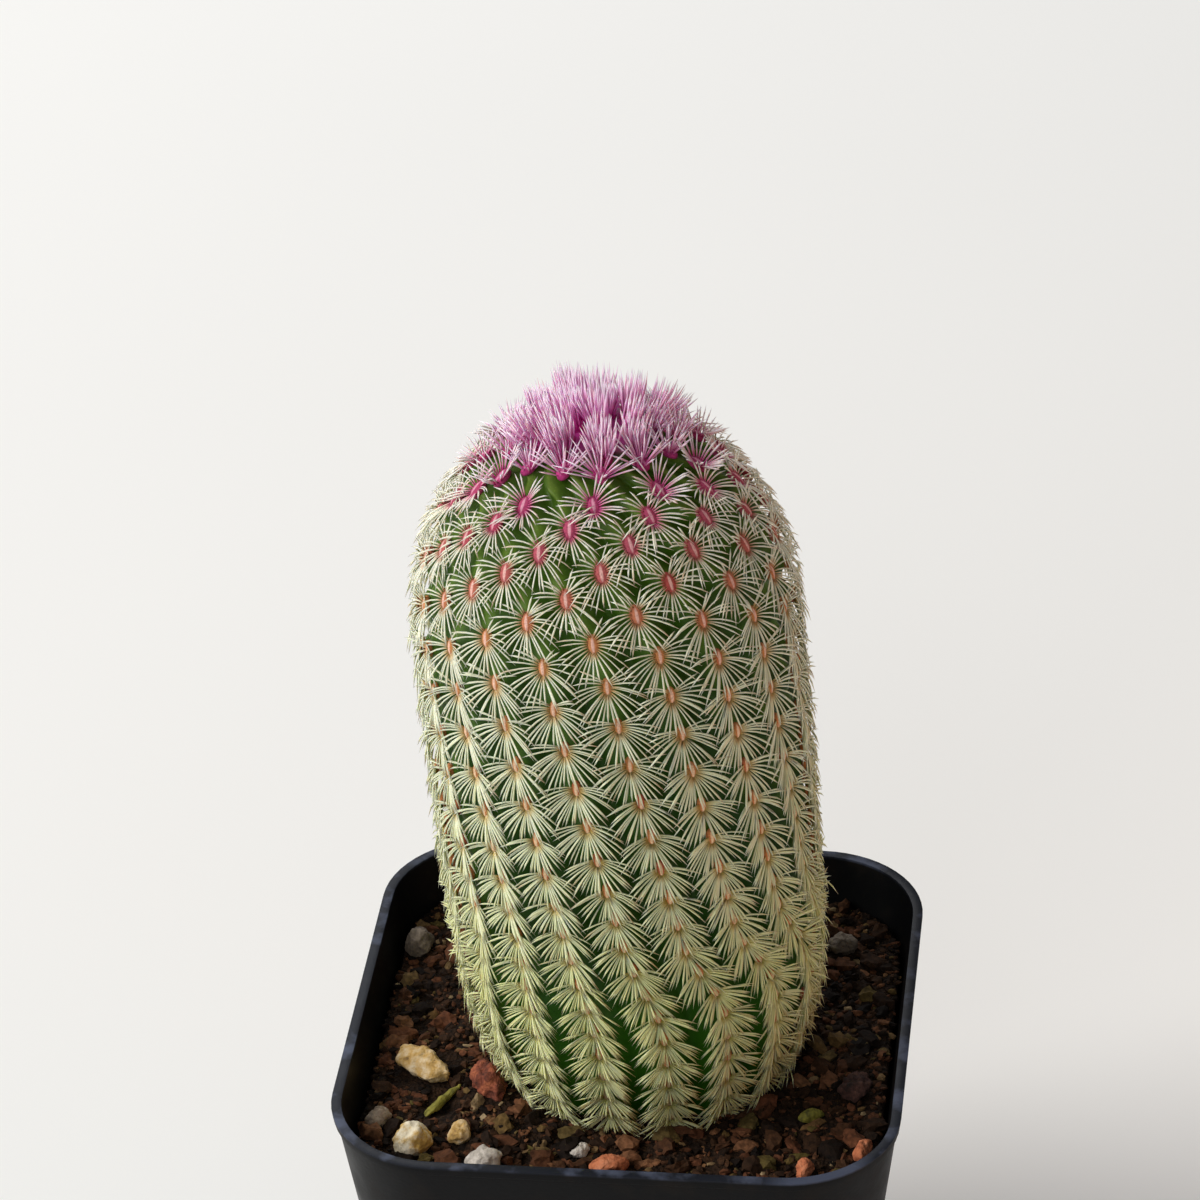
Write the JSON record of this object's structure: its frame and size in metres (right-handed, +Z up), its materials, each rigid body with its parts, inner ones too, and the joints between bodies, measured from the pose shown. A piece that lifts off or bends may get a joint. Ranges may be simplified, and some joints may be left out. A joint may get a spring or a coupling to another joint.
{
  "type": "potted rainbow hedgehog cactus",
  "caption": "Short columnar cactus with slanted ribs, comb-like spines and a bright spiny crown, rooted in gritty soil in a small square plant pot.",
  "frame": {"origin": "on the ground under the middle of the pot, at the lowest point of the object", "axes": "+Z up along the pot; -Y is the side of the pot that faces the camera in the picture; +X to its right"},
  "size_m": [0.07, 0.07, 0.1534],
  "materials": {
    "pot_plastic": "moulded black polypropylene, satin, dusty at the lip",
    "potting_mix": "damp potting mix of peat and composted bark with grit, matt",
    "cactus_skin": "waxy green living skin under ivory and pink spines",
    "pale_stone": "rough pumice and limestone grit, matt",
    "dark_pebble": "worn river pebble, matt",
    "bark": "composted bark, fibrous and matt",
    "clay_chip": "crushed fired clay, unglazed",
    "plant_scrap": "dry moss-green husk and twig"
  },
  "bodies": {
    "root": {"pot": "pot_plastic", "soil": "potting_mix", "cactus": "cactus_skin", "stone_left": "pale_stone", "stone_front_left": "pale_stone", "stone_front": "pale_stone", "pebble_front_left": "pale_stone", "pebble_left": "pale_stone", "pebble_front": "pale_stone", "pebble_back_left": "dark_pebble", "pebble_back_right": "dark_pebble", "bark_left": "bark", "bark_right": "bark", "chip_front": "clay_chip", "chip_front_right": "clay_chip", "chip_right": "clay_chip", "husk_right": "plant_scrap", "twig_left": "plant_scrap"}
  },
  "joints": []
}
